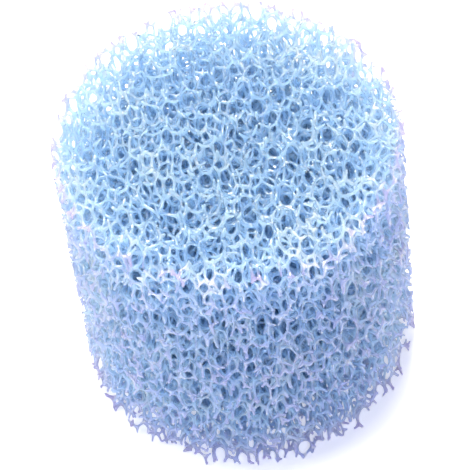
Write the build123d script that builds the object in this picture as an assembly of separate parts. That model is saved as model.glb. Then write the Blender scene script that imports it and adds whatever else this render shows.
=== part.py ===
from build123d import *
import math
import os

# Sponge filter: a round block of coarse open-cell foam that is pushed over a
# slotted strainer tube.  Water is drawn in through the foam, through the
# tube's slots, and out of the rubber bush in the tube's open lower end.
#
# Frame: millimetres, +Z up, origin at the centre of the flat underside.

# ---- foam block ----------------------------------------------------------
SPONGE_R = 30.0          # outer radius
SPONGE_H = 58.5          # height
FOAM_GAP = 0.3           # foam to core clearance, all round

# ---- strainer tube -------------------------------------------------------
TUBE_R = 11.0            # outer radius
TUBE_WALL = 1.5
TUBE_TOP = 42.0          # height of the tube's upper end
SLOT_W = 2.2             # slot width
SLOT_H = 9.0             # slot height
SLOT_ROWS = (20.0, 31.5)  # heights of the slot centres, above the bush
SLOTS_ROUND = 8

# ---- end cap -------------------------------------------------------------
CAP_T = 1.8              # thickness of the cap's disc
CAP_PLUG = 4.0           # depth of the plug inside the tube
CAP_PLUG_WALL = 1.4
CAP_EDGE = 0.8           # rounding of the cap's upper edge

# ---- mouth collar --------------------------------------------------------
COLLAR_R = 17.0          # flange radius
COLLAR_T = 2.0           # flange thickness
SLEEVE_R = 12.8          # sleeve outer radius
SLEEVE_TOP = 7.0         # height of the sleeve's upper end
FINGER_NOTCHES = 6       # rounded notches round the flange
NOTCH_R = 2.2

# ---- pipe bush -----------------------------------------------------------
PIPE_R = 6.0             # bore for a 12 mm intake pipe
BUSH_LEN = 14.0
BUSH_GROOVES = (4.5, 7.5, 10.5)   # heights of the grooves round the outside
GROOVE_D = 0.6
GROOVE_W = 1.2

# ---- pulling the foam off ------------------------------------------------
PULL_OFF = 48.0          # travel that takes the foam clear of the core

tube_in = TUBE_R - TUBE_WALL
core_top = TUBE_TOP + CAP_T


def disc(r, z0, z1):
    """A solid cylinder about the Z axis between two heights."""
    return Pos(0, 0, z0) * Cylinder(
        r, z1 - z0, align=(Align.CENTER, Align.CENTER, Align.MIN)
    )


# ---- strainer tube: plain pipe with two rows of upright slots -------------
tube = disc(TUBE_R, 0, TUBE_TOP) - disc(tube_in, -1, TUBE_TOP + 1)
for row, z in enumerate(SLOT_ROWS):
    for k in range(SLOTS_ROUND):
        turn = 360.0 / SLOTS_ROUND * (k + 0.5 * row)
        slot = Rot(0, 0, turn) * Pos(TUBE_R, 0, z) * Rot(0, 90, 0) * extrude(
            SlotOverall(SLOT_H, SLOT_W), 4, both=True
        )
        tube -= slot

# ---- end cap: disc with a hollow plug that is pushed into the tube --------
cap = disc(TUBE_R, TUBE_TOP, core_top)
cap = fillet(cap.edges().sort_by(Axis.Z)[-1], CAP_EDGE)
cap += disc(tube_in, TUBE_TOP - CAP_PLUG, TUBE_TOP) - disc(
    tube_in - CAP_PLUG_WALL, TUBE_TOP - CAP_PLUG - 1, TUBE_TOP
)

# ---- mouth collar: sleeve on the tube's lower end, with a flange ----------
collar = disc(COLLAR_R, 0, COLLAR_T) + disc(SLEEVE_R, 0, SLEEVE_TOP)
collar -= disc(TUBE_R, -1, SLEEVE_TOP + 1)
for k in range(FINGER_NOTCHES):
    turn = 360.0 / FINGER_NOTCHES * (k + 0.5)
    collar -= Rot(0, 0, turn) * Pos(COLLAR_R + 0.4, 0, 0) * disc(
        NOTCH_R, -1, COLLAR_T + 1
    )

# ---- pipe bush: rubber sleeve that grips the intake pipe ------------------
bush = disc(tube_in, 0, BUSH_LEN) - disc(PIPE_R, -1, BUSH_LEN + 1)
for z in BUSH_GROOVES:
    bush -= disc(tube_in + 1, z - GROOVE_W / 2, z + GROOVE_W / 2) - disc(
        tube_in - GROOVE_D, z - GROOVE_W, z + GROOVE_W
    )

# ---- sponge: one foam block with a stepped blind hole from underneath -----
sponge = disc(SPONGE_R, 0, SPONGE_H)
sponge -= disc(COLLAR_R + FOAM_GAP, -1, COLLAR_T + FOAM_GAP)
sponge -= disc(SLEEVE_R + FOAM_GAP, -1, SLEEVE_TOP + FOAM_GAP)
sponge -= disc(TUBE_R + FOAM_GAP, -1, core_top + FOAM_GAP)

PARTS = {
    "sponge": sponge,
    "strainer_tube": tube,
    "end_cap": cap,
    "mouth_collar": collar,
    "pipe_bush": bush,
}

os.makedirs("parts", exist_ok=True)
for name, shape in PARTS.items():
    shape.label = name
    export_step(shape, f"parts/{name}.step")
    print(name, "volume", round(shape.volume, 1), "mm3")
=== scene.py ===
import bpy, itertools, math, time
import numpy as np
from mathutils import Matrix, Vector, kdtree


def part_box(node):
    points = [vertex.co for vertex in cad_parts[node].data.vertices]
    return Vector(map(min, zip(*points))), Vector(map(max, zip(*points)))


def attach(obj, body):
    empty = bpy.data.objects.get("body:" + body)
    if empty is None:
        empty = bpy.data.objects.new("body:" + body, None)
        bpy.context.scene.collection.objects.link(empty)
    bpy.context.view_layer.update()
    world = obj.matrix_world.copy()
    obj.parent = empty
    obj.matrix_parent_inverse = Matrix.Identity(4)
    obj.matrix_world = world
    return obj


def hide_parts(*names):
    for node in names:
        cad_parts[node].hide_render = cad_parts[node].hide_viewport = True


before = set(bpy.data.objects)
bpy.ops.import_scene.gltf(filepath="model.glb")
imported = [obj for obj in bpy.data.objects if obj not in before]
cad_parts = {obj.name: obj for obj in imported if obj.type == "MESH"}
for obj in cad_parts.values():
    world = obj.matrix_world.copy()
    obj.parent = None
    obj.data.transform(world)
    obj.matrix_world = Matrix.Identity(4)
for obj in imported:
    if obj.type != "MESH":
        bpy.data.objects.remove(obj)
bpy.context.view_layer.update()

began = time.perf_counter()

# ---------------------------------------------------------------- the foam block
# All foam work is in millimetres, in the part's own frame, and goes out in metres.
MM = 0.001
low, high = (np.array(v, float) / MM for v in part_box("sponge"))
R = (high[0] - low[0]) / 2            # outer radius
H = high[2]                           # height
tube_low, tube_high = (np.array(v, float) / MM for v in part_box("strainer_tube"))
cap_high = np.array(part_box("end_cap")[1], float) / MM
collar_high = np.array(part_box("mouth_collar")[1], float) / MM
GAP = 0.3
# The stepped hole from underneath: (radius, height), widest first.
HOLE = ((collar_high[0] + GAP, 2.0 + GAP), (12.8 + GAP, collar_high[2] + GAP), (tube_high[0] + GAP, cap_high[2] + GAP))

CELL = 27.0                           # volume of one foam cell before it is drawn out, mm3
DRAWN = 1.40                          # the foam rose aslant through the block, and its cells are longer that way
RISE = np.array((0.0, math.sin(math.radians(53)), math.cos(math.radians(53))))
NODE_W = 0.48                         # how far a strut joint reaches into each window
STRUT_W = 0.262                        # reach of a strut's corner at its middle
FINE_DEPTH = 6.5                      # struts this near the surface are six-sided


EDGE_ROUND = 1.2                      # mm, the upper edge


def unit(v):
    return v / np.maximum(np.linalg.norm(v, axis=-1, keepdims=True), 1e-9)


def neighbours(pts, k):
    tree = kdtree.KDTree(len(pts))
    for i, p in enumerate(pts):
        tree.insert(p, i)
    tree.balance()
    out = np.empty((len(pts), k), np.int32)
    for i, p in enumerate(pts):
        out[i] = [x[1] for x in tree.find_n(p, k + 1)[1:]]
    return out


def drawn_out(p):
    return p + (DRAWN - 1) * (p @ RISE)[:, None] * RISE


def cell_seeds(rng, half, bottom, top, steps):
    """Evenly spread but unordered points, one to a foam cell, before the cells are drawn out."""
    a = (2 * CELL) ** (1 / 3)
    reach = np.sqrt(half**2 + ((top - bottom) / 2) ** 2) + a
    g = np.arange(-int(reach / a) - 1, int(reach / a) + 2) * a
    X, Y, Z = np.meshgrid(g, g, g, indexing="ij")
    pts = np.stack([X, Y, Z], -1).reshape(-1, 3)
    pts = np.concatenate([pts, pts + a / 2])
    pts = pts + rng.uniform(-0.42, 0.42, pts.shape) * a
    q, _ = np.linalg.qr(rng.normal(size=(3, 3)))
    pts = pts @ q + (0, 0, (bottom + top) / 2 / DRAWN)
    x, y, z = drawn_out(pts).T
    pts = pts[(np.hypot(x, y) < half) & (z > bottom) & (z < top)]
    apart = 1.12 * CELL ** (1 / 3) * 1.08
    for _ in range(steps):
        d = pts[:, None] - pts[neighbours(pts, 14)]
        L = np.maximum(np.linalg.norm(d, axis=2), 1e-6)
        pts = pts + 0.22 * (d * (np.maximum(apart - L, 0) / L)[:, :, None]).sum(1)
    return pts


def junctions(pts, near=23, test=31, widest=1.36 * CELL ** (1 / 3)):
    """The points where four cells meet, and the four cells of each in rising order."""
    nb = neighbours(pts, test)
    combos = np.array(list(itertools.combinations(range(near), 3)), np.int32)
    places, quads = [], []
    for s in range(0, len(pts), 1500):
        here = np.arange(s, min(s + 1500, len(pts)))
        rel = pts[nb[here]] - pts[here, None]
        big = nb[here, :near] > here[:, None]
        use = big[:, combos[:, 0]] & big[:, combos[:, 1]] & big[:, combos[:, 2]]
        i, c = np.nonzero(use)
        b, d, e = (rel[i, combos[c, k]] for k in range(3))
        de, eb, bd = np.cross(d, e), np.cross(e, b), np.cross(b, d)
        vol = 2 * (b * de).sum(1)
        ok = np.abs(vol) > 1e-6
        vol = np.where(ok, vol, 1)
        mid = ((b * b).sum(1)[:, None] * de + (d * d).sum(1)[:, None] * eb + (e * e).sum(1)[:, None] * bd) / vol[:, None]
        r2 = (mid * mid).sum(1)
        keep = np.flatnonzero(ok & (r2 < widest * widest))
        i, c, mid, r2 = i[keep], c[keep], mid[keep], r2[keep]
        free = np.ones(len(i), bool)
        for k in range(test):
            left = np.flatnonzero(free)
            gap = ((rel[i[left], k] - mid[left]) ** 2).sum(1)
            free[left[gap < r2[left] * (1 - 1e-7) - 1e-9]] = False
        i, c, mid = i[free], c[free], mid[free]
        places.append(pts[here[i]] + mid)
        quads.append(np.concatenate([here[i][:, None], nb[here[i][:, None], combos[c]]], 1))
    return np.concatenate(places), np.sort(np.concatenate(quads), 1)


def joined(quads, count):
    """Pairs of junctions that share three cells, each with the place of the cell it leaves out."""
    n, q, keys = np.int64(count), quads.astype(np.int64), []
    for a in range(4):
        t = np.delete(q, a, 1)
        keys.append((t[:, 0] * n + t[:, 1]) * n + t[:, 2])
    keys = np.stack(keys, 1).ravel()
    order = np.argsort(keys, kind="stable")
    same = np.flatnonzero(keys[order[1:]] == keys[order[:-1]])
    one, two = order[same], order[same + 1]
    return one // 4, one % 4, two // 4, two % 4


def outside(p):
    """Signed distance to the cut surface of the foam, more than 0 outside it."""
    r = np.hypot(p[..., 0], p[..., 1])
    z = p[..., 2]
    d = np.maximum(np.maximum(r - R, z - H), -z)
    a, b = r - R + EDGE_ROUND, z - H + EDGE_ROUND
    corner = (a > 0) & (b > 0)            # the upper edge is worn round
    d = np.where(corner, np.maximum(d, np.hypot(a, b) - EDGE_ROUND), d)
    for hr, hz in HOLE:
        d = np.maximum(d, np.minimum(hr - r, hz - z))
    return d


def slope(p, h=0.02):
    g = np.stack([outside(p + s) - outside(p - s) for s in np.eye(3) * h], -1)
    return unit(g)


def wave(p, seed, size):
    """Smooth noise of about -1 to 1, from a few plane waves."""
    rng = np.random.default_rng(seed)
    out = 0
    for _ in range(7):
        k = unit(rng.normal(size=3)) * rng.uniform(0.6, 1.4) * 2 * np.pi / size
        out = out + np.sin(p @ k + rng.uniform(0, 6.28))
    return out / 3.2


rng = np.random.default_rng(11)
seeds = cell_seeds(rng, R + 8, -8, H + 8, 5)
P, quads = junctions(seeds)
P, seeds = drawn_out(P), drawn_out(seeds)
A, a, B, b = joined(quads, len(seeds))
M = len(P)
near = np.full((M, 4), -1)            # the junction at the other end of each strut
near_slot = np.full((M, 4), -1)
near[A, a], near_slot[A, a] = B, b
near[B, b], near_slot[B, b] = A, a
full = (near >= 0).all(1)
for _ in range(5):                    # evens out the struts' lengths and angles
    P = np.where(full[:, None], 0.5 * P + 0.5 * P[near].mean(1), P)
print("FOAM junctions", M, "struts", len(A), round(time.perf_counter() - began, 1), "s", flush=True)

# The knife's cut wanders a little, and tears out a joint here and there, which leaves longer ends standing.
# The foot is the most ragged, at the side that looks towards +X and -Y.
ragged = np.clip((9 - P[:, 2]) / 7, 0, 1) * (0.65 + 0.35 * (P[:, 0] * 0.7 - P[:, 1] * 0.7) / R)
cut = 0.18 + 0.14 * wave(P, 3, 9.0) + rng.uniform(0, 0.22, M)
torn = rng.random(M) < 0.09 + 0.36 * ragged
cut = cut + torn * rng.uniform(0.1, 1.0, M) * (1.1 + 0.9 * ragged)
depth = -outside(P)
inside = depth > cut
# Only what hangs together with the block stays.
reached = np.zeros(M, bool)
start = np.flatnonzero(inside)[np.argmin(np.abs(P[inside] - (0, 0, H - 6)).sum(1))]
reached[start] = True
edge = np.array([start])
while len(edge):
    on = near[edge].ravel()
    on = np.unique(on[on >= 0])
    edge = on[inside[on] & ~reached[on]]
    reached[edge] = True
inside = reached

# Everything below is about the junctions inside, renumbered.
old = np.flatnonzero(inside)
new = np.full(M, -1)
new[old] = np.arange(len(old))
N = len(old)
C = P[old]
far = near[old]                       # old numbers
far_slot = near_slot[old]
U = unit(np.where((far >= 0)[:, :, None], P[far], 0) - C[:, None])
lost = far < 0
if lost.any():
    U[lost] = -unit((U * ~lost[:, :, None]).sum(1)[np.nonzero(lost)[0]])
LEN = np.where(lost, 1.2, np.linalg.norm(P[far] - C[:, None], axis=2))
outer = np.minimum(np.minimum(R - np.hypot(C[:, 0], C[:, 1]), H - C[:, 2]), C[:, 2])
fine = (outer < FINE_DEPTH) | (depth[old] < 1.2)
thick = 1 + 0.11 * wave(C, 5, 6.0) + rng.uniform(-0.11, 0.13, N)

PAIRS = ((0, 1), (0, 2), (0, 3), (1, 2), (1, 3), (2, 3))
PI = np.full((4, 4), -1)
for k, (x, y) in enumerate(PAIRS):
    PI[x, y] = PI[y, x] = k
corner = np.empty((N, 6, 3))
for k, (x, y) in enumerate(PAIRS):
    way = U[:, x] + U[:, y]
    flat = np.linalg.norm(way, axis=1)
    way = unit(way)
    along = np.maximum((way * U[:, x]).sum(1), 0.15)
    w = np.minimum(NODE_W * thick, 0.44 * np.minimum(LEN[:, x], LEN[:, y]) / along)
    w = np.maximum(w, 0.24) * np.clip(0.7 + 0.3 * flat, 0.75, 1)
    corner[:, k] = C + way * w[:, None]

# Twelve points more for a six-sided joint: on strut x's ring, towards the cell that strut y leaves out.
MI = np.full((4, 4), -1)
MIDS = [(x, y) for x in range(4) for y in range(4) if x != y]
for k, (x, y) in enumerate(MIDS):
    MI[x, y] = k
mid = np.empty((N, 12, 3))
for k, (x, y) in enumerate(MIDS):
    i, j = [s for s in range(4) if s not in (x, y)]
    rel = (corner[:, PI[x, i]] + corner[:, PI[x, j]]) / 2 - C
    ahead = (rel * U[:, x]).sum(1)[:, None]
    side = rel - ahead * U[:, x]
    reach = np.maximum(np.linalg.norm(side, axis=1, keepdims=True), 0.17)
    mid[:, k] = C + U[:, x] * ahead * 0.92 + unit(side) * reach * 1.18

verts = [corner.reshape(-1, 3)]
CORNER0 = 0
MID0 = N * 6
verts.append(mid.reshape(-1, 3))
n_verts = N * 18
tris, quads4 = [], []                 # (faces, piece keys by junction, flat)
owner_tris, owner_quads = [], []
flat_tris = []


def add_tris(f, owner, flat=False):
    tris.append(f)
    owner_tris.append(owner)
    flat_tris.append(np.full(len(f), flat))


def face_out(f, way, v):
    """Turns faces round where their normal points against way."""
    e = np.cross(v[f[:, 1]] - v[f[:, 0]], v[f[:, 2]] - v[f[:, 0]])
    bad = (e * way).sum(1) < 0
    f[bad] = f[bad][:, ::-1]
    return f


ids = np.arange(N)
V0 = np.concatenate(verts)
for c in range(4):                    # the patch of each joint that faces cell c
    x, y, z = [s for s in range(4) if s != c]
    k1, k2, k3 = (CORNER0 + ids * 6 + PI[p, q] for p, q in ((x, y), (x, z), (y, z)))
    m1, m2, m3 = (MID0 + ids * 12 + MI[s, c] for s in (x, y, z))
    way = seeds[quads[old][:, c]] - C
    # one winding for the whole patch
    whole = np.stack([k1, k2, k3], 1)
    e = np.cross(V0[whole[:, 1]] - V0[whole[:, 0]], V0[whole[:, 2]] - V0[whole[:, 0]])
    turn = (e * way).sum(1) < 0
    for f in ((k1, m1, m2), (m1, k2, m3), (m2, m3, k3), (m1, m3, m2)):
        f = np.stack(f, 1)[fine]
        f[turn[fine]] = f[turn[fine]][:, ::-1]
        add_tris(f, ids[fine])
    f = whole[~fine]
    f[turn[~fine]] = f[turn[~fine]][:, ::-1]
    add_tris(f, ids[~fine])

# ---- struts: (junction, slot) to (junction, slot), or cut
sn, ss = np.nonzero(np.ones((N, 4), bool))
other = np.where(far[sn, ss] >= 0, new[far[sn, ss]], -1)
whole_strut = other >= 0
keep = ~whole_strut | (sn < other)
sn, ss, other, whole_strut = sn[keep], ss[keep], other[keep], whole_strut[keep]
os_ = far_slot[old[sn] * 0 + sn, ss]  # slot at the far junction
u = U[sn, ss]
L = LEN[sn, ss]
S = len(sn)
slot_of = lambda s, k: np.where(k < s, k, k + 1)   # the k-th remaining slot when s is left out
ring_n = np.stack([PI[ss, slot_of(ss, k)] for k in range(3)], 1)
vn = CORNER0 + sn[:, None] * 6 + ring_n
pn = V0[vn]
on_ = np.where(whole_strut, other, 0)
os2 = np.where(whole_strut, os_, 0)
ring_m = np.stack([PI[os2, slot_of(os2, k)] for k in range(3)], 1)
vm = CORNER0 + on_[:, None] * 6 + ring_m
pm = V0[vm]


def split(p, base):
    rel = p - base[:, None]
    x = (rel * u[:, None]).sum(2)
    side = rel - x[:, :, None] * u[:, None]
    return x, unit(side), np.linalg.norm(side, axis=2)


xn, dn, wn = split(pn, C[sn])
xm, dm, wm = split(pm, C[sn])         # measured from the near junction too
# cut struts: where the strut leaves the foam
t_lo, t_hi = np.zeros(S), L.copy()
shift = cut[old[sn]] * rng.uniform(0.3, 1.0, S)
for _ in range(14):
    t = (t_lo + t_hi) / 2
    ins = outside(C[sn] + u * t[:, None]) < -0.02
    t_lo, t_hi = np.where(ins, t, t_lo), np.where(ins, t_hi, t)
free_end = ~whole_strut & (t_lo >= L * 0.98)   # its far joint was torn out
reach = np.where(whole_strut, L, t_lo * np.where(free_end, rng.uniform(0.72, 1.0, S), 1))
x0 = xn.mean(1)
stub = ~whole_strut & (reach < x0 + 0.12)
x1 = np.where(whole_strut, xm.mean(1), reach)
x1 = np.where(x1 < x0 + 0.04, x0 + 0.04, x1)
d_far = np.where(whole_strut[:, None, None], dm, dn)
size = thick[sn]
short = np.clip(1 - (x1 - x0) / 0.9, 0, 1)
w_mid = STRUT_W * size * (1 + rng.uniform(-0.12, 0.12, S)) * (1 + 0.35 * short * whole_strut)
sixer = fine[sn] & (~whole_strut | fine[on_])

parts_v = []


def new_points(p):
    """Adds rings of points (struts, corners, 3) and returns their numbers."""
    global n_verts
    first = n_verts
    parts_v.append(p.reshape(-1, 3))
    n_verts += p.shape[0] * p.shape[1]
    return first + np.arange(p.shape[0] * p.shape[1]).reshape(p.shape[:2])


def section(pick, s, w, squash=0.60, stretch=None):
    """Ring corners at share s of the strut: three, and three between them."""
    s = np.broadcast_to(s, (len(pick), 1)) if np.ndim(s) < 2 else s
    d = unit(dn[pick] * (1 - s)[:, :, None] + d_far[pick] * s[:, :, None])
    x = x0[pick] * (1 - s[:, 0]) + x1[pick] * s[:, 0]
    base = C[sn[pick]] + u[pick] * x[:, None]
    out = base[:, None] + d * w[:, None, None]
    between = unit(d[:, [1, 2, 0]] + d[:, [2, 0, 1]])
    inner = base[:, None] + between * (w * squash)[:, None, None]
    return out, inner


clock = (np.cross(dn[:, 0], dn[:, 1]) * u).sum(1) > 0   # corners run anticlockwise seen from the far end


def strip(r1, r2, pick):
    """Quads between two rings of the same number of points."""
    k = r1.shape[1]
    for i in range(k):
        j = (i + 1) % k
        f = np.stack([r1[:, i], r1[:, j], r2[:, j], r2[:, i]], 1)
        t = ~clock[pick]
        f[t] = f[t][:, ::-1]
        quads4.append(f)
        owner_quads.append(sn[pick])


def close(r, pick, ahead, owner, flat=False):
    """A lid on a ring. ahead says whether it faces the far end."""
    k = r.shape[1]
    if k == 3:
        fs = [(0, 1, 2)]
    else:
        fs = [(0, 1, 5), (1, 2, 3), (3, 4, 5), (1, 3, 5)]
    for f in fs:
        f = r[:, list(f)]
        t = ~clock[pick] if ahead else clock[pick]
        f = f.copy()
        f[t] = f[t][:, ::-1]
        add_tris(f, owner, flat)


def six(corners, mids):
    """Weaves three corners and three points between them into one ring: corner 0, between 0 and 1, ..."""
    return np.stack([corners[:, 0], mids[:, 2], corners[:, 1], mids[:, 0], corners[:, 2], mids[:, 1]], 1)


# The point between corners k and l faces the cell whose slot is that of the third, m.
mid_n = np.stack([MID0 + sn * 12 + MI[ss, slot_of(ss, k)] for k in range(3)], 1)
mid_m = np.stack([MID0 + on_ * 12 + MI[os2, slot_of(os2, k)] for k in range(3)], 1)


def flared(s, w, w_end0, w_end1):
    near_end = np.clip(1 - 2 * s, 0, 1) ** 2
    far_end = np.clip(2 * s - 1, 0, 1) ** 2
    return w * (1 - near_end - far_end) + w_end0 * near_end + w_end1 * far_end


# share of the whole strut that a cut one keeps, to know how far its end flares
kept = np.clip((x1 - x0) / np.maximum(L - 2 * x0, 0.05), 0, 1)
w_end_far = np.where(free_end, 0.8 * w_mid, wn.mean(1))


def lay(pick, six_sided, rings):
    """Builds one kind of strut: rings is the shares along it."""
    pick = np.flatnonzero(pick)
    if not len(pick):
        return
    last = six(vn[pick], mid_n[pick]) if six_sided else vn[pick]
    is_whole = whole_strut[pick]
    for s in rings:
        t = np.where(is_whole, s, s * kept[pick])
        w = flared(t, w_mid[pick], wn[pick].mean(1), w_end_far[pick])
        o, i = section(pick, s, w)
        wob = rng.normal(0, 0.018, (len(pick), 1, 3))
        now = new_points(six(o + wob, i + wob) if six_sided else o + wob)
        strip(last, now, pick)
        last = now
    return pick, last


def ends(pick, last, six_sided):
    w_ = whole_strut[pick]
    # whole: on to the far junction's own ring
    g = np.flatnonzero(w_)
    if len(g):
        tail = six(vm[pick[g]], mid_m[pick[g]]) if six_sided else vm[pick[g]]
        strip(last[g], tail, pick[g])
    g = np.flatnonzero(~w_)
    if len(g):
        p = pick[g]
        t = kept[p]
        w = flared(t, w_mid[p], wn[p].mean(1), w_end_far[p]) * rng.uniform(0.78, 1.05, len(p))
        # the end is rounded off: a full ring a little short of it, and a smaller one at it
        back_by = np.clip(0.55 * w / np.maximum(x1[p] - x0[p], 0.05), 0, 0.22)
        for share, wide in ((1 - back_by, 1.0), (np.ones(len(p)), 0.58)):
            o, i = section(p, share[:, None], w * wide)
            ring = six(o, i) if six_sided else o
            if wide < 1:
                grad = slope(ring)
                facing = np.maximum((grad * u[p][:, None]).sum(2), 0.4)
                move = np.clip(-(outside(ring) + 0.03) / facing, -0.25, 0.2)
                move = np.where(free_end[p][:, None], np.minimum(move, 0), move)
                ring = ring + u[p][:, None] * move[:, :, None]
            now = new_points(ring)
            strip(last[g], now, p)
            last = last.copy()
            last[g] = now
        close(now, p, True, sn[p])


for is_six, rings in ((True, (0.26, 0.5, 0.74)), (False, (0.36, 0.64))):
    pick = (sixer if is_six else ~sixer) & ~stub
    cut_ones = pick & ~whole_strut
    whole_ones = pick & whole_strut
    for which, at in ((whole_ones, rings), (cut_ones, (0.36, 0.7))):
        got = lay(which, is_six, at)
        if got is not None:
            ends(got[0], got[1], is_six)

# stubs: the joint's own ring is closed
p = np.flatnonzero(stub)
for f6 in (True, False):
    q = p[fine[sn[p]] == f6]
    if len(q):
        close(six(vn[q], mid_n[q]) if f6 else vn[q], q, True, sn[q])

# where a three-sided strut meets a six-sided joint, three slivers close the ring
def slivers(pick, v3, mids, towards_far, owner):
    for m in range(3):
        k, l = (m + 1) % 3, (m + 2) % 3
        f = np.stack([v3[:, k], mids[:, m], v3[:, l]], 1)
        t = clock[pick] != towards_far
        f[t] = f[t][:, ::-1]
        add_tris(f, owner)


q = np.flatnonzero(~sixer & ~stub & fine[sn])
slivers(q, vn[q], mid_n[q], True, sn[q])
q = np.flatnonzero(~sixer & ~stub & whole_strut & fine[on_])
slivers(q, vm[q], mid_m[q], False, on_[q])

# ---- the block goes out as pieces of a size that other tools can open; where a strut runs from one to the next, both are closed
turn = np.arctan2(C[:, 1], C[:, 0]) / (2 * np.pi) + 0.5
radius = np.hypot(C[:, 0], C[:, 1])
ZONES = (("top", 5, lambda: fine & (H - C[:, 2] < 5)), ("under", 4, lambda: fine & (C[:, 2] < 5)),
         ("side", 10, lambda: fine & (R - radius < 6)), ("middle", 7, lambda: np.ones(N, bool)))
piece_of = np.full(N, -1)
pieces = []
for zone, count, where in ZONES:
    free = where() & (piece_of < 0)
    rank = np.clip((turn * count).astype(int), 0, count - 1)
    for k in range(count):
        piece_of[free & (rank == k)] = len(pieces)
        pieces.append((f"sponge_{zone}_{k + 1}", zone))
across = whole_strut & (piece_of[sn] != piece_of[on_])
for f6 in (True, False):
    q = np.flatnonzero(across & (sixer == f6))
    ring = six(vm[q], mid_m[q]) if f6 else vm[q]
    close(ring, q, True, sn[q], True)
    close(ring, q, False, on_[q], True)

V = np.concatenate([V0] + parts_v)
# nothing stands proud of the cut
for _ in range(2):
    o = outside(V)
    out = np.flatnonzero(o > -0.01)
    V[out] -= slope(V[out]) * (o[out] + 0.01)[:, None]
T = np.concatenate(tris)
T_own, T_flat = np.concatenate(owner_tris), np.concatenate(flat_tris)
Qd = np.concatenate(quads4)
Q_own = np.concatenate(owner_quads)
print("FOAM points", len(V), "triangles", len(T) + 2 * len(Qd), "six", int(sixer.sum()), "of", S, round(time.perf_counter() - began, 1), "s", flush=True)


def foam_mesh(name, zone, which):
    t, q = T[piece_of[T_own] == which], Qd[piece_of[Q_own] == which]
    lid = T_flat[piece_of[T_own] == which]
    if not len(t):
        return None
    flat_ids = np.concatenate([t.ravel(), q.ravel()])
    used, loops = np.unique(flat_ids, return_inverse=True)
    me = bpy.data.meshes.new(name)
    me.vertices.add(len(used))
    at = V[used]
    me.vertices.foreach_set("co", (at * MM).astype(np.float32).ravel())
    me.loops.add(len(loops))
    me.loops.foreach_set("vertex_index", loops.astype(np.int32))
    me.polygons.add(len(t) + len(q))
    start = np.concatenate([np.arange(len(t)) * 3, len(t) * 3 + np.arange(len(q)) * 4]).astype(np.int32)
    me.polygons.foreach_set("loop_start", start)
    me.polygons.foreach_set("use_smooth", np.concatenate([~lid, np.ones(len(q), bool)]))
    # A UV map: flat from above for the ends, and rolled out for the rest, leant over a little so that no face is
    # edge-on.
    x, y, z = at.T
    if zone in ("top", "under"):
        uv = np.stack([x + 0.31 * z, y + 0.23 * z], 1)
    else:
        r = np.hypot(x, y)
        mean = np.arctan2(y.mean(), x.mean())
        around = (np.arctan2(y, x) - mean + np.pi) % (2 * np.pi) - np.pi
        uv = np.stack([around * R + 0.33 * r, z + 0.27 * r], 1)
    uv = (uv - uv.min(0)) / np.ptp(uv, axis=0).max() * 0.96 + 0.02
    me.update(calc_edges=True)
    layer = me.uv_layers.new(name="OFBake")
    layer.uv.foreach_set("vector", uv[loops].astype(np.float32).ravel())
    me.validate()
    ob = bpy.data.objects.new(name, me)
    bpy.context.scene.collection.objects.link(ob)
    return ob


# ---------------------------------------------------------------- materials
def material(name):
    m = bpy.data.materials.new(name)
    m.use_nodes = True
    nt = m.node_tree
    return m, nt, nt.nodes["Principled BSDF"]


def node(nt, kind, **props):
    n = nt.nodes.new(kind)
    for k, v in props.items():
        setattr(n, k, v)
    return n


def ramp(nt, stops):
    r = nt.nodes.new("ShaderNodeValToRGB")
    e = r.color_ramp.elements
    while len(e) < len(stops):
        e.new(0.5)
    for x, (at, col) in zip(e, stops):
        x.position, x.color = at, (*col, 1)
    return r


def math_node(nt, op, a, b=None):
    n = node(nt, "ShaderNodeMath", operation=op)
    for k, v in enumerate((a, b)):
        if v is None:
            continue
        if isinstance(v, (int, float)):
            n.inputs[k].default_value = v
        else:
            nt.links.new(v, n.inputs[k])
    return n.outputs[0]


def span(nt, value, a, b, to_a=0.0, to_b=1.0):
    """Carries value from the range a to b over to to_a to to_b, and stops at both ends."""
    n = node(nt, "ShaderNodeMapRange", interpolation_type="SMOOTHSTEP")
    for key, v in (("From Min", a), ("From Max", b), ("To Min", to_a), ("To Max", to_b)):
        n.inputs[key].default_value = v
    nt.links.new(value, n.inputs["Value"])
    return n.outputs["Result"]


def blend(nt, fac, a, b):
    n = node(nt, "ShaderNodeMix", data_type="RGBA")
    for k, v in ((0, fac), (6, a), (7, b)):
        if isinstance(v, tuple):
            n.inputs[k].default_value = (*v, 1)
        elif isinstance(v, (int, float)):
            n.inputs[k].default_value = v
        else:
            nt.links.new(v, n.inputs[k])
    return n.outputs[2]


def noise(nt, vector, scale, detail=2.0):
    n = node(nt, "ShaderNodeTexNoise")
    n.inputs["Scale"].default_value = scale
    n.inputs["Detail"].default_value = detail
    nt.links.new(vector, n.inputs["Vector"])
    return n.outputs["Fac"]


PALE = ((0.30, (0.64, 0.81, 0.990)), (0.50, (0.71, 0.86, 0.993)), (0.72, (0.84, 0.93, 0.995)))
DEEP_PAINTED_SCATTER = (0.68, 0.845, 1.000)            # painted light: struts further in get a more saturated blue, standing in for light scattered deep into the pores
WALL_PAINTED_LILAC = (0.74, 0.735, 0.985)             # painted light: the outermost struts of the round wall are tinted lilac, standing in for the violet light on the side
FOOT = (0.66, 0.58, 0.80)             # and those of the bottom edge are a little brown
RIM_PAINTED_SHADE = (0.74, 0.66, 0.86)              # painted shade: the struts of the very upper edge are darkened towards pink
EDGE_PAINTED_HIGHLIGHT = (0.95, 0.97, 0.99)             # painted highlight: patches round the upper edge are nearly white


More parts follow.
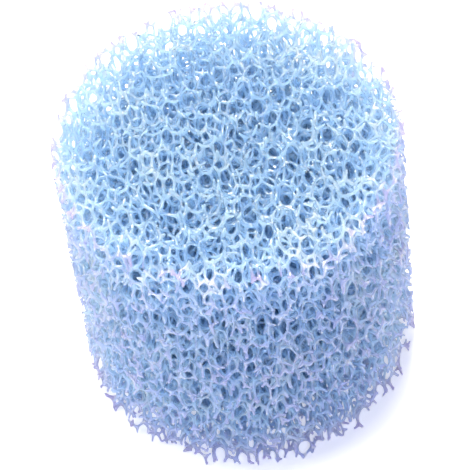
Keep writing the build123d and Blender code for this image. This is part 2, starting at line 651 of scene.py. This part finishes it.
def foam_material():
    m, nt, p = material("foam_blue")
    co = node(nt, "ShaderNodeTexCoord").outputs["Object"]
    cols = ramp(nt, PALE)
    nt.links.new(noise(nt, co, 110), cols.inputs["Fac"])
    xyz = node(nt, "ShaderNodeSeparateXYZ")
    nt.links.new(co, xyz.inputs[0])
    x, y, z = xyz.outputs
    radius = math_node(nt, "SQRT", math_node(nt, "ADD", math_node(nt, "MULTIPLY", x, x), math_node(nt, "MULTIPLY", y, y)))
    patchy = span(nt, noise(nt, co, 220), 0.35, 0.65, 0.5, 1.0)
    from_wall = math_node(nt, "SUBTRACT", R * MM, radius)
    from_top = math_node(nt, "SUBTRACT", H * MM, z)
    under = math_node(nt, "MINIMUM", math_node(nt, "MINIMUM", from_wall, from_top), z)
    # painted light: the colour turns towards the saturated blue of scattered light with depth under the surface
    colour = blend(nt, span(nt, under, 0.0008, 0.0050, 0.0, 1.0), cols.outputs["Color"], DEEP_PAINTED_SCATTER)
    # painted light: lilac on the outermost struts of the round wall, in patches
    wall_painted_lilac = math_node(nt, "MULTIPLY", span(nt, from_wall, 0.0020, 0.0, 0.0, 0.75), patchy)
    colour = blend(nt, wall_painted_lilac, colour, WALL_PAINTED_LILAC)
    foot = math_node(nt, "MULTIPLY", span(nt, z, 0.008, 0.0, 0.0, 0.7), patchy)
    colour = blend(nt, foot, colour, FOOT)
    # painted shade: the very upper edge is darkened towards pink
    rim_painted_shade = math_node(nt, "MULTIPLY", span(nt, from_wall, 0.0022, 0.0003), span(nt, from_top, 0.0050, 0.0010))
    colour = blend(nt, math_node(nt, "MULTIPLY", rim_painted_shade, 0.7), colour, RIM_PAINTED_SHADE)
    to_edge = math_node(nt, "ADD", from_wall, from_top)
    # painted highlight: nearly white patches near the upper edge, strongest towards the front
    edge_painted_highlight = math_node(nt, "MULTIPLY", span(nt, to_edge, 0.014, 0.002), span(nt, noise(nt, co, 160, 1.0), 0.50, 0.64))
    edge_painted_highlight = math_node(nt, "MULTIPLY", edge_painted_highlight, span(nt, y, 0.010, -0.008))
    colour = blend(nt, math_node(nt, "MULTIPLY", edge_painted_highlight, 0.6), colour, EDGE_PAINTED_HIGHLIGHT)
    painted_glint = span(nt, noise(nt, co, 1000, 1.0), 0.655, 0.70, 0.0, 0.9)
    colour = blend(nt, painted_glint, colour, (0.985, 0.99, 1.0))   # painted glints: tiny nearly white spots in the colour
    nt.links.new(colour, p.inputs["Base Color"])
    p.inputs["Roughness"].default_value = 0.5
    through = node(nt, "ShaderNodeBsdfTranslucent")
    nt.links.new(colour, through.inputs["Color"])
    mix = node(nt, "ShaderNodeMixShader")
    mix.inputs["Fac"].default_value = 0.95
    nt.links.new(p.outputs[0], mix.inputs[1])
    nt.links.new(through.outputs[0], mix.inputs[2])
    # the struts are smooth and a little wet-looking
    shine = node(nt, "ShaderNodeBsdfGlossy")
    nt.links.new(span(nt, noise(nt, co, 1400), 0.3, 0.7, 0.07, 0.20), shine.inputs["Roughness"])
    facing = node(nt, "ShaderNodeLayerWeight")
    facing.inputs["Blend"].default_value = 0.5
    edge_on = math_node(nt, "MULTIPLY", math_node(nt, "POWER", facing.outputs["Facing"], 4.0), 0.5)
    outer_side = math_node(nt, "SUBTRACT", 1.0, node(nt, "ShaderNodeNewGeometry").outputs["Backfacing"])
    mirror = math_node(nt, "MULTIPLY", math_node(nt, "ADD", edge_on, 0.11), outer_side)
    coat = node(nt, "ShaderNodeMixShader")
    nt.links.new(mirror, coat.inputs["Fac"])
    nt.links.new(mix.outputs[0], coat.inputs[1])
    nt.links.new(shine.outputs[0], coat.inputs[2])
    nt.links.new(coat.outputs[0], nt.nodes["Material Output"].inputs["Surface"])
    return m


foam_mat = foam_material()
sponge_pieces = []
for k, (name, zone) in enumerate(pieces):
    ob = foam_mesh(name, zone, k)
    if ob is None:
        continue
    ob.data.materials.append(foam_mat)
    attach(ob, "foam_block")
    sponge_pieces.append(ob)
    print("PIECE", name, len(ob.data.polygons), flush=True)
for ob in sponge_pieces:
    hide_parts("sponge")

# ---------------------------------------------------------------- the core's own materials
def plastic(name, low_col, high_col, rough):
    m, nt, p = material(name)
    co = node(nt, "ShaderNodeTexCoord")
    n = node(nt, "ShaderNodeTexNoise")
    n.inputs["Scale"].default_value = 90
    n.inputs["Detail"].default_value = 3
    nt.links.new(co.outputs["Object"], n.inputs["Vector"])
    c = ramp(nt, ((0.35, low_col), (0.7, high_col)))
    nt.links.new(n.outputs["Fac"], c.inputs["Fac"])
    nt.links.new(c.outputs["Color"], p.inputs["Base Color"])
    g = node(nt, "ShaderNodeTexNoise")
    g.inputs["Scale"].default_value = 2500
    nt.links.new(co.outputs["Object"], g.inputs["Vector"])
    r = node(nt, "ShaderNodeMapRange")
    r.inputs["To Min"].default_value, r.inputs["To Max"].default_value = rough
    nt.links.new(g.outputs["Fac"], r.inputs["Value"])
    nt.links.new(r.outputs["Result"], p.inputs["Roughness"])
    b = node(nt, "ShaderNodeBump")
    b.inputs["Strength"].default_value = 0.12
    b.inputs["Distance"].default_value = 0.0001
    nt.links.new(g.outputs["Fac"], b.inputs["Height"])
    nt.links.new(b.outputs["Normal"], p.inputs["Normal"])
    return m


core_mat = plastic("core_plastic", (0.52, 0.60, 0.70), (0.60, 0.68, 0.77), (0.34, 0.50))
rubber_mat = plastic("bush_rubber", (0.012, 0.012, 0.013), (0.024, 0.024, 0.026), (0.62, 0.80))
for nm, mat in (("strainer_tube", core_mat), ("end_cap", core_mat), ("mouth_collar", core_mat), ("pipe_bush", rubber_mat)):
    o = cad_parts[nm]
    o = bpy.data.objects[o] if isinstance(o, str) else o
    for sl in o.material_slots:
        sl.material = mat
    if not o.material_slots:
        o.data.materials.append(mat)

# ---------------------------------------------------------------- floor, light, camera
def plane(name, half, z):
    me = bpy.data.meshes.new(name)
    me.from_pydata([(-half, -half, z), (half, -half, z), (half, half, z), (-half, half, z)], [], [(0, 1, 2, 3)])
    ob = bpy.data.objects.new(name, me)
    bpy.context.scene.collection.objects.link(ob)
    return ob


floor = plane("floor", 3.0, -0.0002)
m, nt, p = material("floor_white")
p.inputs["Base Color"].default_value = (0.92, 0.92, 0.93, 1)
p.inputs["Roughness"].default_value = 0.9
p.inputs["Emission Color"].default_value = (1, 1, 1, 1)
p.inputs["Emission Strength"].default_value = 0.48
floor.data.materials.append(m)

world = bpy.data.worlds.new("studio")
bpy.context.scene.world = world
world.use_nodes = True
world.node_tree.nodes["Background"].inputs["Color"].default_value = (0.9, 0.95, 1.0, 1)
world.node_tree.nodes["Background"].inputs["Strength"].default_value = 0.05


def lamp(name, place, aim, size, watts, colour):
    data = bpy.data.lights.new(name, "AREA")
    data.shape = "RECTANGLE"
    data.size, data.size_y = size
    data.energy = watts
    data.color = colour
    ob = bpy.data.objects.new(name, data)
    ob.location = place
    ob.rotation_euler = (Vector(aim) - Vector(place)).to_track_quat("-Z", "Y").to_euler()
    bpy.context.scene.collection.objects.link(ob)
    return ob


lamp("key_top", (0, 0.05, 0.7), (0, 0, 0.03), (0.14, 0.14), 6.1, (1.00, 0.95, 0.84))
lamp("key_back", (0, 0.45, 0.5), (0, 0, 0.03), (0.25, 0.25), 4.2, (1.00, 0.90, 0.72))
lamp("side_top_left", (-0.45, 0, 0.5), (0, 0, 0.03), (0.35, 0.35), 1.9, (1.00, 0.97, 0.76))
lamp("front_top", (0.05, -0.3, 0.6), (0, 0, 0.03), (0.1, 0.1), 0.5, (0.68, 0.72, 1.00))
lamp("front_glint", (0.06, -0.5, 0.42), (0, 0, 0.03), (0.1, 0.1), 0.95, (0.42, 0.50, 1.00))
lamp("side_low_left", (-0.65, -0.2, 0.12), (0, 0, 0.03), (0.3, 0.3), 0.42, (0.76, 0.95, 1.00))
lamp("back_low", (0, 0.7, 0.15), (0, 0, 0.03), (0.4, 0.3), 0.4, (1.00, 0.88, 0.74))
lamp("back_left", (-0.5, 0.5, 0.25), (0, 0, 0.03), (0.3, 0.3), 0.6, (1.00, 0.87, 0.63))
lamp("back_right", (0.5, 0.5, 0.25), (0, 0, 0.03), (0.3, 0.3), 0.30, (1.00, 0.75, 0.55))

ELEV, ROLL, FAR, SCALE = math.radians(53.6), math.radians(7.5), 0.53, 1.0
AT = Vector((0, 0, H * MM / 2))
back = Vector((0, -math.cos(ELEV), math.sin(ELEV)))
right = Vector((1, 0, 0))
up = Vector((0, math.sin(ELEV), math.cos(ELEV)))
cam_data = bpy.data.cameras.new("camera")
cam = bpy.data.objects.new("camera", cam_data)
bpy.context.scene.collection.objects.link(cam)
bpy.context.scene.camera = cam
px_per_m = 170.6 / (R * MM)           # at the block's middle
cam_data.sensor_width = 36
cam_data.lens = 36 * px_per_m * FAR / 470
cam_data.clip_start, cam_data.clip_end = 0.01, 20
cr, sr = math.cos(ROLL), math.sin(ROLL)
x_axis, y_axis = right * cr - up * sr, up * cr + right * sr
# the block's middle stands at pixel (239.5, 235.5)
off = x_axis * (-(239.5 - 235) / px_per_m) + y_axis * ((235.5 - 235) / px_per_m)
cam.matrix_world = Matrix.Translation(AT + off + back * FAR) @ Matrix((x_axis, y_axis, back)).transposed().to_4x4()

bpy.context.scene.view_settings.view_transform = "Standard"
bpy.context.scene.view_settings.look = "None"

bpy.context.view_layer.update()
print("SCENE", round(time.perf_counter() - began, 1), "s", flush=True)
